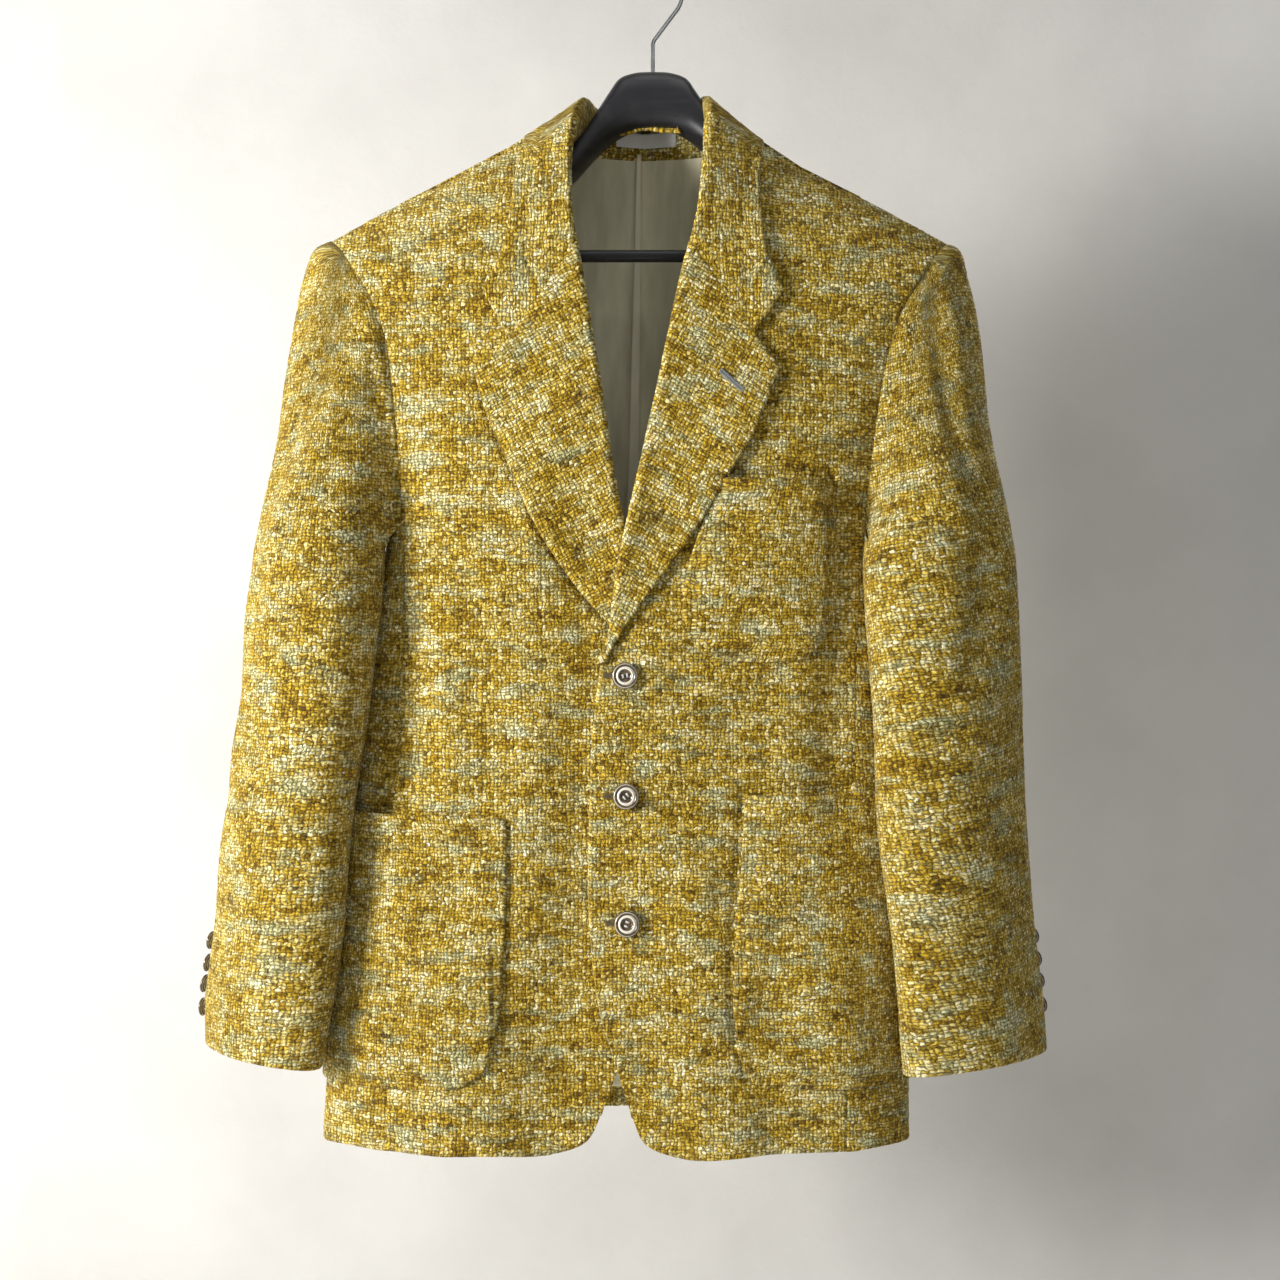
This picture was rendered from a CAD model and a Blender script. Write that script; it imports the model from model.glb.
import math

import bpy
import numpy as np
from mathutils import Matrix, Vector


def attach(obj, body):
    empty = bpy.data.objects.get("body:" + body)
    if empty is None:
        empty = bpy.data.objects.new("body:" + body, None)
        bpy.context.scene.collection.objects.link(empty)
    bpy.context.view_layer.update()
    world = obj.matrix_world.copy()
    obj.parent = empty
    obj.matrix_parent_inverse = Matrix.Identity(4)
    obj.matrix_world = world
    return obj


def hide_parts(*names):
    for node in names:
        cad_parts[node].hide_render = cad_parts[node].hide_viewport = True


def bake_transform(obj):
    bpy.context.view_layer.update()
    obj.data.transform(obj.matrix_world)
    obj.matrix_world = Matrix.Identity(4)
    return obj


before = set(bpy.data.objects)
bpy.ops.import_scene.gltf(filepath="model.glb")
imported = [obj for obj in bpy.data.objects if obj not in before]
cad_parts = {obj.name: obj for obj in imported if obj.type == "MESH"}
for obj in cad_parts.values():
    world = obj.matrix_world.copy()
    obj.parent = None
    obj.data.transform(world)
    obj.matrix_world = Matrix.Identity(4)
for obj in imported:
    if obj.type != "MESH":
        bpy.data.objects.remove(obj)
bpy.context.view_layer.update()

# Tweed jacket on a coat hanger. Lengths are in millimetres until the meshes are made.
# "out" is the distance from the jacket's middle line; side is +1 for the wearer's left (+X).
STEP = 2.6         # spacing of a cloth grid
MM = 0.001
LEFT, RIGHT = 1, -1
SIDE_WORD = {LEFT: "left", RIGHT: "right"}
NECK_X = -6                          # the jacket's middle line at the neck
RIDGE = -82.0                        # height of the shoulder line there
SLOPE = math.tan(math.radians(29))   # fall of the shoulders
SADDLE_DROP = 220                    # how far below the shoulder line the shoulders' curve ends
SADDLE_DEEP = 62                     # half depth of the shoulders there
SQUARE = 2.6                         # squareness of the body's section: 2 is an ellipse
ROUNDING = 6                         # softness of the line where the shoulders meet the body


# ---- Curves, patches and noise --------------------------------------------------------------
def curve(points, t, knots=None):
    """Smooth line through points, read at shares t of its length, or of the given knots."""
    p = np.asarray(points, float)
    if knots is None:
        d = np.r_[0, np.cumsum(np.linalg.norm(np.diff(p, axis=0), axis=1))]
        d = d / d[-1]
    else:
        d = np.array(knots)
    m = np.gradient(p, d, axis=0)
    i = np.clip(np.searchsorted(d, t, side="right") - 1, 0, len(p) - 2)
    h = (d[i + 1] - d[i])[:, None]
    f = ((t - d[i]) / (d[i + 1] - d[i]))[:, None]
    a, b = 2 * f**3 - 3 * f**2 + 1, f**3 - 2 * f**2 + f
    return a * p[i] + b * h * m[i] + (1 - a) * p[i + 1] + (f**3 - f**2) * h * m[i + 1]


def line(points, t):
    """Straight runs through points, read at shares t of their length."""
    p = np.asarray(points, float)
    d = np.r_[0, np.cumsum(np.linalg.norm(np.diff(p, axis=0), axis=1))]
    return np.stack([np.interp(np.asarray(t) * d[-1], d, p[:, k]) for k in range(p.shape[1])], -1)


def patch(left, right, top, bottom):
    """Grid of points between four edges, given as arrays that share their corners."""
    u = np.linspace(0, 1, len(top))[None, :, None]
    v = np.linspace(0, 1, len(left))[:, None, None]
    across = (1 - u) * left[:, None] + u * right[:, None]
    down = (1 - v) * top[None] + v * bottom[None]
    corners = (
        (1 - u) * (1 - v) * top[0] + u * (1 - v) * top[-1]
        + (1 - u) * v * bottom[0] + u * v * bottom[-1]
    )
    return across + down - corners


def hashed(i, j, k, seed):
    h = (i * 374761393 + j * 668265263 + k * 2147483647 + seed * 1274126177) & 0xFFFFFFFF
    h = ((h ^ (h >> 13)) * 1274126177) & 0xFFFFFFFF
    return ((h ^ (h >> 16)) & 0xFFFFFF) / float(0xFFFFFF)


def noise(p, cell, seed=0):
    """Smooth noise from -1 to 1 at points p, with cells of the given size or sizes."""
    q = p / np.asarray(cell, float)
    i = np.floor(q).astype(np.int64)
    f = q - i
    f = f * f * (3 - 2 * f)
    total = 0
    for a in (0, 1):
        for b in (0, 1):
            for c in (0, 1):
                w = (f[..., 0] if a else 1 - f[..., 0]) * (f[..., 1] if b else 1 - f[..., 1])
                w = w * (f[..., 2] if c else 1 - f[..., 2])
                total = total + w * hashed(i[..., 0] + a, i[..., 1] + b, i[..., 2] + c, seed)
    return 2 * total - 1


def smooth(x, low, high):
    t = np.clip((x - low) / (high - low), 0, 1)
    return t * t * (3 - 2 * t)


def bump(x, z, points, width):
    """1 on a line through points, fading over a width to each side."""
    best = np.full(np.shape(x), 1e9)
    for (ax, az), (bx, bz) in zip(points, points[1:]):
        dx, dz = bx - ax, bz - az
        t = np.clip(((x - ax) * dx + (z - az) * dz) / (dx * dx + dz * dz), 0, 1)
        best = np.minimum(best, (x - ax - t * dx) ** 2 + (z - az - t * dz) ** 2)
    return np.exp(-best / width**2)


# ---- The body's form ----------------------------------------------------------------------
def middle(z):
    """The middle line, which leans towards the wearer's right on its way down."""
    return NECK_X - 22 * (-106 - z) / 799


def ridge_z(x):
    """Height of the shoulder line, which dips a little beside the neck."""
    dip = np.interp(x, [-210, -150, -110, -75, -45, -6, 35, 60, 80, 115, 166, 200],
                    [0, 4, 6, 5, 3, 0, 2, 6, 9, 12, 8, 7])
    return RIDGE - SLOPE * np.abs(x - NECK_X) - dip


def crest(out, side):
    """Height of the shoulder line at a distance out from the middle line."""
    z = ridge_z(NECK_X + side * out)
    for _ in range(3):
        z = ridge_z(middle(z) + side * out)
    return z


def half_width(z):
    return np.interp(z, [-960, -850, -801, -740, -650, -572, -500, -430, -303, -200],
                     [229, 225, 221, 217, 212, 206, 199, 189, 231, 276])


def half_deep(z):
    return np.interp(z, [-940, -790, -645, -520, -430, -60], [51, 49, 48, 49, 52, 56])


FOLDS = [  # line of a fold or valley on the front, its width, and how far it stands out
    ([(-196, -440), (-165, -520), (-150, -620)], 20, 3.0),
    ([(-178, -500), (-188, -640)], 14, -2.5),
    ([(152, -430), (139, -540), (134, -650)], 17, -4.0),
    ([(118, -400), (112, -520), (104, -640)], 24, 2.0),
    ([(-150, -760), (-160, -915)], 24, 4.0),
    ([(-95, -800), (-90, -925)], 22, -3.5),
    ([(30, -700), (38, -915)], 26, 3.0),
    ([(84, -800), (92, -915)], 20, -3.5),
    ([(140, -780), (150, -915)], 24, 4.0),
    ([(-60, -560), (-70, -760)], 40, 2.0),
]


def front_folds(x, z):
    d = sum(height * bump(x, z, points, width) for points, width, height in FOLDS)
    p = np.stack([x, 0 * x, z], -1)
    soft = 3.0 * noise(p, (70, 1, 190), 3) + 1.6 * noise(p, (30, 1, 60), 5)
    return (d + soft) * smooth(-z, 190, 420)


def back_folds(x, z):
    p = np.stack([x, 0 * x, z], -1)
    drape = 6 * bump(x, z, [(-120, -420), (-135, -900)], 34) - 5 * bump(x, z, [(-62, -560), (-70, -900)], 26)
    drape = drape + 6 * bump(x, z, [(92, -430), (104, -900)], 36)
    drape = drape - 5 * bump(x, z, [(40, -600), (44, -900)], 24)
    drape = drape + 3 * bump(x, z, [(-150, -300), (-60, -262), (0, -256), (90, -262), (150, -300)], 16)
    return (drape + 3 * noise(p, (90, 1, 210), 11)) * smooth(-z, 170, 380)


def lesser(a, b):
    """The lesser of two depths, rounded where they meet."""
    h = np.clip(0.5 + 0.5 * (a - b) / ROUNDING, 0, 1)
    return np.maximum(a * (1 - h) + b * h - ROUNDING * h * (1 - h), 0)


def column_depth(x, z, off=0.0):
    """Half depth of the body below its shoulders."""
    r = np.clip(np.abs(x - middle(z)) / (half_width(z) + off), 0, 1)
    return (half_deep(z) + off) * (1 - r**SQUARE) ** (1 / SQUARE)


def coat_depth(x, z, off):
    """Half depth of the coat body at a place, between its column and its shoulders."""
    k = np.clip(1 - (ridge_z(x) + off - z) / (SADDLE_DROP + off), 0, 1)
    return lesser((SADDLE_DEEP + off) * np.sqrt(1 - k * k), column_depth(x, z, off))


def centre_y(drop):
    """Where the body's middle plane lies, at a distance below the shoulder line."""
    return -3 - 3 * np.clip(drop / SADDLE_DROP, 0, 1)


def coat(out, z, side, off=0.0, back=False, folds=True):
    """Points on the coat body, in front of the middle or behind it."""
    x = middle(z) + side * out
    h = coat_depth(x, z, off)
    if folds:
        h = h + smooth(h, 4, 30) * (back_folds(x, z) if back else front_folds(x, z))
    return np.stack([x, centre_y(ridge_z(x) - z) + (h if back else -h), z], -1)


def ridge_point(out, turn, side):
    """Points on the shoulders: turn is 0 on the ridge, -90 in front and 90 behind, in degrees."""
    g = np.radians(turn)
    drop = SADDLE_DROP * (1 - np.cos(g))
    x = NECK_X + side * out
    for _ in range(3):
        z = ridge_z(x) - drop
        x = middle(z) + side * out
    h = lesser(np.abs(SADDLE_DEEP * np.sin(g)), column_depth(x, z)) * np.sign(g)
    return np.stack([x, centre_y(drop) + h, z], -1)


def turn_of(out, z, side):
    """The ridge_point turn, in degrees, of a front point at a height."""
    drop = ridge_z(middle(z) + side * out) - z
    return -np.degrees(np.arccos(np.clip(1 - drop / SADDLE_DROP, -1, 1)))


# ---- Meshes -------------------------------------------------------------------------------
def unit(v):
    return v / np.maximum(np.linalg.norm(v, axis=-1, keepdims=True), 1e-9)


def grid_normals(p, wrap=False):
    du = np.gradient(p, axis=1)
    if wrap:
        du[:, 0] = du[:, -1] = (p[:, 1] - p[:, -2]) / 2
    return unit(np.cross(du, np.gradient(p, axis=0)))


def grid_uv(p, turn=0.0, shift=(0, 0)):
    """Cloth coordinates of a grid in millimetres, turned by an angle."""
    u = np.concatenate([np.zeros((p.shape[0], 1)), np.cumsum(np.linalg.norm(np.diff(p, axis=1), axis=2), 1)],
                       1)
    v = np.concatenate([np.zeros((1, p.shape[1])), np.cumsum(np.linalg.norm(np.diff(p, axis=0), axis=2), 0)],
                       0)
    u = u - u[:, [u.shape[1] // 2]]
    return turned(u, -v, turn, shift)


def turned(u, v, turn, shift=(0, 0)):
    c, s = math.cos(math.radians(turn)), math.sin(math.radians(turn))
    return np.stack([u * c + v * s + shift[0], v * c - u * s + shift[1]], -1)


def make_mesh(name, vertices, faces, uv, material, same=None):
    """Mesh of points and faces. same gives the point that stands in for each one at a closed seam."""
    joined = faces
    if same is not None:
        kept, index = np.unique(same[faces], return_inverse=True)
        vertices, joined = vertices[kept], index.reshape(faces.shape)
    mesh = bpy.data.meshes.new(name)
    mesh.from_pydata((vertices * MM).tolist(), [], joined.tolist() if hasattr(joined, "tolist") else joined)
    if uv is not None:
        layer = mesh.uv_layers.new(name="cloth")
        order = np.concatenate([np.asarray(f) for f in faces]) if isinstance(faces, list) else faces.ravel()
        layer.data.foreach_set("uv", (uv[order] * MM).astype(np.float32).ravel())
    mesh.polygons.foreach_set("use_smooth", [True] * len(mesh.polygons))
    mesh.materials.append(material)
    mesh.validate()
    mesh.update()
    obj = bpy.data.objects.new(name, mesh)
    bpy.context.scene.collection.objects.link(obj)
    return obj


def grid_quads(rows, columns):
    i = (np.arange(rows - 1)[:, None] * columns + np.arange(columns - 1)[None]).ravel()
    return np.stack([i, i + columns, i + columns + 1, i + 1], 1)


def border(rows, columns):
    """The points round the edge of a grid, in order."""
    return np.concatenate([
        np.arange(columns), np.arange(1, rows) * columns + columns - 1,
        (rows - 1) * columns + np.arange(columns - 2, -1, -1), np.arange(rows - 2, 0, -1) * columns,
    ])


def cloth(name, p, uv, material, thick, nub=0.3, wrap=False, flip=False):
    """Cloth of a real thickness on a grid of points, with round edges and a nubbly face."""
    n = grid_normals(p, wrap) * (-1 if flip else 1)
    rows, columns = p.shape[:2]
    if nub:
        lump = noise(p, 2.3, 21) + 0.7 * noise(p, 4.1, 22)
        if wrap:
            lump[:, -1] = lump[:, 0]
        p = p + n * (nub * lump)[..., None]
    outer, inner, places = p.reshape(-1, 3), (p - n * thick).reshape(-1, 3), uv.reshape(-1, 2)
    layers, uvs = [outer, inner], [places, places]
    count = rows * columns
    quads = grid_quads(rows, columns)
    if flip:
        quads = quads[:, ::-1]
    faces = [quads, quads[:, ::-1] + count]
    same = [np.arange(2 * count)]
    if wrap:
        same[0][columns - 1::columns] -= columns - 1
        loops = [np.arange(columns), (rows - 1) * columns + np.arange(columns)]
        inward = [loops[0] + columns, loops[1] - columns]
    else:
        loops = [border(rows, columns)]
        row, column = loops[0] // columns, loops[0] % columns
        inward = [np.clip(row, 1, rows - 2) * columns + np.clip(column, 1, columns - 2)]
    start = 2 * count
    for turn, (loop, near) in enumerate(zip(loops, inward)):
        # three rows of points make each edge round
        away = unit(outer[loop] - outer[near])
        rings = [loop]
        for share in (0.17, 0.5, 0.83):
            bulge = 0.5 * thick * math.sin(math.pi * share)
            layers.append(outer[loop] * (1 - share) + inner[loop] * share + away * bulge)
            uvs.append(places[loop] + 0.5)
            rings.append(start + np.arange(len(loop)))
            same.append(rings[-1].copy())
            if wrap:
                same[-1][-1] = start
            start += len(loop)
        rings.append(loop + count)
        now = np.arange(len(loop) - 1 if wrap else len(loop))
        follow = (now + 1) % len(loop)
        for a, b in zip(rings, rings[1:]):
            strip = np.stack([a[now], a[follow], b[follow], b[now]], 1)
            if flip ^ (wrap and turn == 1):
                strip = strip[:, ::-1]
            faces.append(strip)
    corners = np.concatenate(faces)[:, ::-1]
    return make_mesh(name, np.concatenate(layers), corners, np.concatenate(uvs), material,
                     np.concatenate(same))


# ---- Materials ----------------------------------------------------------------------------
class Nodes:
    """Short forms for the nodes of one material."""

    def __init__(self, name):
        self.material = bpy.data.materials.new(name)
        self.material.use_nodes = True
        self.tree = self.material.node_tree
        self.shader = self.tree.nodes["Principled BSDF"]

    def new(self, kind, inputs=(), **settings):
        node = self.tree.nodes.new(kind)
        for key, value in settings.items():
            setattr(node, key, value)
        for key, value in dict(inputs).items():
            if isinstance(value, bpy.types.NodeSocket):
                self.tree.links.new(value, node.inputs[key])
            else:
                node.inputs[key].default_value = value
        return node

    def math(self, operation, a, b=0.0, c=0.0):
        return self.new("ShaderNodeMath", {0: a, 1: b, 2: c}, operation=operation).outputs[0]

    def total(self, *shares):
        """Sum of values, each times its share."""
        value, share = shares[0]
        result = self.math("MULTIPLY", value, share)
        for value, share in shares[1:]:
            result = self.math("ADD", result, self.math("MULTIPLY", value, share))
        return result

    def uv(self):
        return self.new("ShaderNodeUVMap", uv_map="cloth").outputs[0]

    def place(self):
        return self.new("ShaderNodeTexCoord").outputs["Object"]

    def scaled(self, vector, *scale):
        return self.new("ShaderNodeMapping", {"Vector": vector, "Scale": scale}).outputs[0]

    def wave(self, vector, scale, distortion, direction):
        inputs = {"Vector": vector, "Scale": scale, "Distortion": distortion}
        return self.new("ShaderNodeTexWave", inputs, bands_direction=direction).outputs["Fac"]

    def join(self, x, y, z=0.0):
        return self.new("ShaderNodeCombineXYZ", {0: x, 1: y, 2: z}).outputs[0]

    def noise(self, vector, scale, detail=2.0, rough=0.5):
        values = {"Vector": vector, "Scale": scale, "Detail": detail, "Roughness": rough}
        node = self.new("ShaderNodeTexNoise", values)
        return node.outputs["Fac"]

    def spread(self, value, low, high, to_low=0.0, to_high=1.0):
        inputs = {"Value": value, "From Min": low, "From Max": high, "To Min": to_low, "To Max": to_high}
        return self.new("ShaderNodeMapRange", inputs).outputs[0]

    def mix(self, share, a, b, blend="MIX"):
        node = self.new("ShaderNodeMix", data_type="RGBA", blend_type=blend)
        for key, value in ((0, share), (6, a), (7, b)):
            if isinstance(value, bpy.types.NodeSocket):
                self.tree.links.new(value, node.inputs[key])
            else:
                node.inputs[key].default_value = (*value, 1) if isinstance(value, tuple) else value
        return node.outputs[2]

    def ramp(self, value, stops):
        node = self.new("ShaderNodeValToRGB", {0: value})
        for step, (place, colour) in enumerate(stops):
            stop = node.color_ramp.elements[step] if step < 2 else node.color_ramp.elements.new(place)
            stop.position = place
            stop.color = (*colour, 1)
        return node.outputs[0]

    def link(self, value, socket):
        self.tree.links.new(value, self.shader.inputs[socket])

    def bump(self, height, distance, strength=1.0):
        node = self.new("ShaderNodeBump", {"Strength": strength, "Distance": distance, "Height": height})
        self.link(node.outputs[0], "Normal")

    def set(self, **values):
        for key, value in values.items():
            self.shader.inputs[key.replace("_", " ")].default_value = value


def tweed():
    """Boucle tweed: slubbed yarns over and under each other, in patches of several colours."""
    n = Nodes("tweed")
    uv = n.uv()
    wobble = n.new("ShaderNodeTexNoise", {"Vector": uv, "Scale": 135.0, "Detail": 4.0, "Roughness": 0.68})
    middle_grey, reach = (0.5, 0.5, 0.5), (0.0088, 0.0070, 0.0)
    shift = n.new("ShaderNodeVectorMath", {0: wobble.outputs["Color"], 1: middle_grey}, operation="SUBTRACT")
    shift = n.new("ShaderNodeVectorMath", {0: shift.outputs[0], 1: reach}, operation="MULTIPLY")
    moved = n.new("ShaderNodeVectorMath", {0: uv, 1: shift.outputs[0]}, operation="ADD").outputs[0]
    along, up = n.new("ShaderNodeSeparateXYZ", {0: moved}).outputs[:2]
    ru = n.math("MULTIPLY", along, 1000 / WARP_PITCH)
    rv = n.math("MULTIPLY", up, 1000 / WEFT_PITCH)
    iu, iv = n.math("FLOOR", ru), n.math("FLOOR", rv)
    hump_u = n.math("SINE", n.math("MULTIPLY", n.math("FRACT", ru), math.pi))
    hump_v = n.math("SINE", n.math("MULTIPLY", n.math("FRACT", rv), math.pi))
    parity = n.math("PINGPONG", n.math("ADD", iu, iv), 1.0)
    # colour streaks along each weft yarn, and along each warp yarn
    weft = n.noise(n.join(n.math("MULTIPLY", along, 60.0), n.math("MULTIPLY", iv, 0.83)), 1.0, 3.0, 0.6)
    warp = n.noise(n.join(n.math("MULTIPLY", iu, 0.91), n.math("MULTIPLY", up, 80.0), 7.0), 1.0, 3.0, 0.6)
    area = n.noise(n.scaled(uv, 24.0, 56.0, 1.0), 1.0, 4.0, 0.62)
    upright = n.noise(n.scaled(uv, 95.0, 17.0, 1.0), 1.0, 3.0, 0.6)
    fine = n.noise(uv, 520.0, 2.0, 0.6)
    cells = n.join(n.math("ADD", iu, 0.5), n.math("ADD", iv, 0.5))
    tone = n.new("ShaderNodeTexWhiteNoise", {0: cells}, noise_dimensions="2D").outputs["Value"]
    across = n.total((weft, 0.46), (area, 0.54))
    upward = n.total((warp, 0.46), (n.math("ADD", area, upright), 0.27))
    yarn = n.new("ShaderNodeMix", {0: parity, 2: upward, 3: across}, data_type="FLOAT").outputs[0]
    mixed = n.total((yarn, 0.80), (fine, 0.12), (tone, 0.08))
    colour = n.ramp(n.spread(mixed, 0.375, 0.620), [
        (0.0, (0.140, 0.074, 0.004)), (1.0, (0.90, 0.79, 0.48)), (0.14, (0.240, 0.134, 0.006)),
        (0.30, (0.400, 0.238, 0.010)), (0.46, (0.535, 0.352, 0.026)), (0.62, (0.66, 0.49, 0.11)),
        (0.80, (0.78, 0.655, 0.29)),
    ])
    patches = n.noise(n.scaled(uv, 30.0, 70.0, 1.0), 1.0, 3.0, 0.6)
    pale = n.spread(n.total((patches, 0.62), (yarn, 0.38)), 0.50, 0.60, 0.0, 0.86)
    colour = n.mix(pale, colour, n.ramp(n.spread(mixed, 0.40, 0.64), [
        (0.0, (0.25, 0.24, 0.085)), (1.0, (0.86, 0.83, 0.54)), (0.5, (0.52, 0.51, 0.26)),
    ]))
    # one yarn shows in each cell; loops stand up from it, and the gaps between are dark
    upper = n.math("MULTIPLY", hump_u, n.math("POWER", hump_v, 0.4))
    over = n.math("MULTIPLY", hump_v, n.math("POWER", hump_u, 0.4))
    weave = n.new("ShaderNodeMix", {0: parity, 2: upper, 3: over}, data_type="FLOAT").outputs[0]
    loops = n.new("ShaderNodeTexVoronoi", {"Vector": moved, "Scale": 560.0, "Randomness": 1.0})
    loop = n.spread(loops.outputs["Distance"], 0.0, 0.8, 1.0, 0.0)
    height = n.total((weave, 0.46), (loop, 0.32), (n.noise(uv, 1100.0, 3.0, 0.7), 0.22))
    height = n.math("MULTIPLY", height, n.spread(tone, 0.0, 1.0, 0.78, 1.2))
    shade = n.spread(height, 0.22, 0.78, 0.22, 1.36)
    n.link(n.mix(1.0, colour, n.join(shade, shade, shade), "MULTIPLY"), "Base Color")
    n.bump(height, 0.0022, 1.0)
    n.set(Roughness=0.95, Sheen_Weight=0.16, Sheen_Roughness=0.5, Sheen_Tint=(1.0, 0.90, 0.55, 1))
    n.set(Specular_IOR_Level=0.12)
    return n.material


def satin(name, base, dark):
    n = Nodes(name)
    uv = n.uv()
    folds = n.noise(n.scaled(uv, 38.0, 9.0, 1.0), 1.0, 3.0, 0.55)
    n.link(n.mix(n.spread(folds, 0.3, 0.7), dark, base), "Base Color")
    n.link(n.spread(folds, 0.3, 0.7, 0.36, 0.52), "Roughness")
    n.bump(n.total((folds, 6.0), (n.wave(uv, 900.0, 0.6, "DIAGONAL"), 0.06)), 0.0012, 0.6)
    n.set(Sheen_Weight=0.25, Sheen_Roughness=0.3)
    return n.material


def canvas():
    n = Nodes("canvas")
    place = n.place()
    fleck = n.noise(place, 900.0, 3.0)
    n.link(n.mix(n.spread(fleck, 0.4, 0.62), (0.62, 0.57, 0.46), (0.36, 0.31, 0.23)), "Base Color")
    n.bump(n.math("ADD", n.wave(place, 320.0, 0.8, "X"), n.wave(place, 320.0, 0.8, "Z")), 0.0006, 0.6)
    n.set(Roughness=0.95, Sheen_Weight=0.3)
    return n.material


def black_plastic():
    n = Nodes("hanger_black")
    place = n.place()
    dust = n.noise(place, 26.0, 4.0, 0.6)
    scuff = n.noise(n.scaled(place, 30.0, 30.0, 260.0), 1.0, 3.0)
    n.link(n.mix(n.spread(dust, 0.55, 0.75), (0.010, 0.010, 0.012), (0.022, 0.021, 0.020)), "Base Color")
    n.link(n.spread(scuff, 0.35, 0.7, 0.34, 0.50), "Roughness")
    n.bump(n.noise(place, 1400.0, 3.0, 0.6), 0.00018, 0.35)
    n.set(IOR=1.47)
    return n.material


def metal(name, colour, rough):
    n = Nodes(name)
    place = n.place()
    drawn = n.noise(n.scaled(place, 900.0, 900.0, 60.0), 1.0, 3.0)
    dull = tuple(0.72 * c for c in colour)
    n.link(n.mix(n.spread(n.noise(place, 70.0, 3.0), 0.45, 0.75), colour, dull), "Base Color")
    n.link(n.spread(drawn, 0.3, 0.7, rough, rough + 0.16), "Roughness")
    n.bump(drawn, 0.00008, 0.4)
    n.set(Metallic=1.0)
    return n.material


def horn():
    n = Nodes("horn")
    radius = n.new("ShaderNodeSeparateXYZ", {0: n.uv()}).outputs[0]
    cloud = n.noise(n.scaled(n.place(), 120.0, 120.0, 420.0), 1.0, 4.0, 0.6)
    body = n.ramp(n.spread(cloud, 0.32, 0.68), [
        (0.0, (0.034, 0.022, 0.011)), (1.0, (0.15, 0.105, 0.055)), (0.5, (0.072, 0.047, 0.022)),
    ])
    # pale turned ring between the rim and the dish, and a paler edge: radius is a share of the button's
    ring = n.math("MULTIPLY", n.spread(radius, 0.48, 0.52), n.spread(radius, 0.71, 0.67))
    edge = n.math("MULTIPLY", n.spread(radius, 0.85, 0.88), n.spread(radius, 0.95, 0.92))
    n.link(n.mix(n.total((ring, 0.95), (edge, 0.45)), body, (0.74, 0.70, 0.58)), "Base Color")
    n.link(n.spread(cloud, 0.3, 0.7, 0.20, 0.34), "Roughness")
    n.bump(cloud, 0.0001, 0.5)
    n.set(Coat_Weight=0.5, Coat_Roughness=0.12)
    return n.material


def thread(name, colour, dark):
    n = Nodes(name)
    twist = n.wave(n.place(), 700.0, 2.0, "DIAGONAL")
    n.link(n.mix(twist, dark, colour), "Base Color")
    n.bump(twist, 0.0003, 0.7)
    n.set(Roughness=0.8, Sheen_Weight=0.3)
    return n.material


def label_cloth():
    n = Nodes("label_white")
    uv = n.uv()
    grain = n.spread(n.noise(uv, 900.0, 2.0), 0.4, 0.7)
    n.link(n.mix(grain, (0.80, 0.80, 0.77), (0.66, 0.66, 0.63)), "Base Color")
    n.bump(n.wave(uv, 500.0, 0.4, "Y"), 0.0003, 0.6)
    n.set(Roughness=0.7, Sheen_Weight=0.2)
    return n.material


def plaster(name, base, stain, scale):
    n = Nodes(name)
    place = n.place()
    n.link(n.mix(n.spread(n.noise(place, scale, 5.0, 0.6), 0.42, 0.72), base, stain), "Base Color")
    n.bump(n.noise(place, 90.0, 6.0, 0.65), 0.0016, 0.25)
    n.set(Roughness=0.85)
    return n


WARP_PITCH, WEFT_PITCH = 3.0, 2.5
TWEED = tweed()
SATIN = satin("lining", (0.76, 0.72, 0.50), (0.46, 0.43, 0.28))
PLEAT = satin("pleat", (0.80, 0.74, 0.54), (0.66, 0.60, 0.43))
CANVAS = canvas()
BLACK = black_plastic()
WIRE = metal("wire", (0.70, 0.70, 0.69), 0.18)
BRASS = metal("bush", (0.72, 0.56, 0.30), 0.30)
HORN = horn()
THREAD = thread("thread_pale", (0.72, 0.70, 0.62), (0.45, 0.43, 0.36))
GREY_THREAD = thread("thread_grey", (0.30, 0.32, 0.31), (0.12, 0.13, 0.13))
OLIVE_THREAD = thread("thread_olive", (0.17, 0.115, 0.018), (0.06, 0.04, 0.008))
LABEL = label_cloth()


def finished(obj, body, slot, *nodes):
    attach(obj, body)
    if nodes:
        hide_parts(*nodes)


def steps(size, least=6):
    return max(least, int(round(size / STEP)))


# ---- Fronts --------------------------------------------------------------------------------
ROLL = {
    LEFT: [(45.5, -134), (43.9, -165), (38.6, -218), (29.8, -258), (21.5, -306), (14.6, -346), (7.0, -386),
           (-2.4, -434), (-12.5, -496), (-20, -541)],
    RIGHT: [(51.5, -134), (52.5, -165), (49.5, -212), (41.2, -258), (32.5, -307), (24.6, -353), (16.6, -401),
            (9.8, -434), (-3, -485), (-18, -541)],
}
EDGE = [(-22, -541), (-25, -600), (-25.5, -645), (-22, -752), (-14, -805), (0, -848), (11, -880)]
CORNER = [(11, -880), (20, -899), (48, -910)]
HEM = [(48, -910), (90, -909), (172, -908)]
ARMHOLE = [(231, -227), (215, -246), (201, -268), (191, -295), (186, -320), (180, -370), (176, -432)]
BACK_ARMHOLE = [(230, -237), (214, -268), (203, -310), (194, -365), (176, -432)]
TIP = {LEFT: (238.5, -220), RIGHT: (241, -217.5)}
SIDE = [(176, -432), (174, -455), (172, -490), (172, -640), (172, -790), (172, -908)]


def under(out, side, z):
    """How far the wearer's right front sits back where the left front covers it."""
    if side == LEFT:
        return 0.0 * out
    return -8.5 * (1 - smooth(out, 30, 78)) * smooth(-z, 400, 470)


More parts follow.
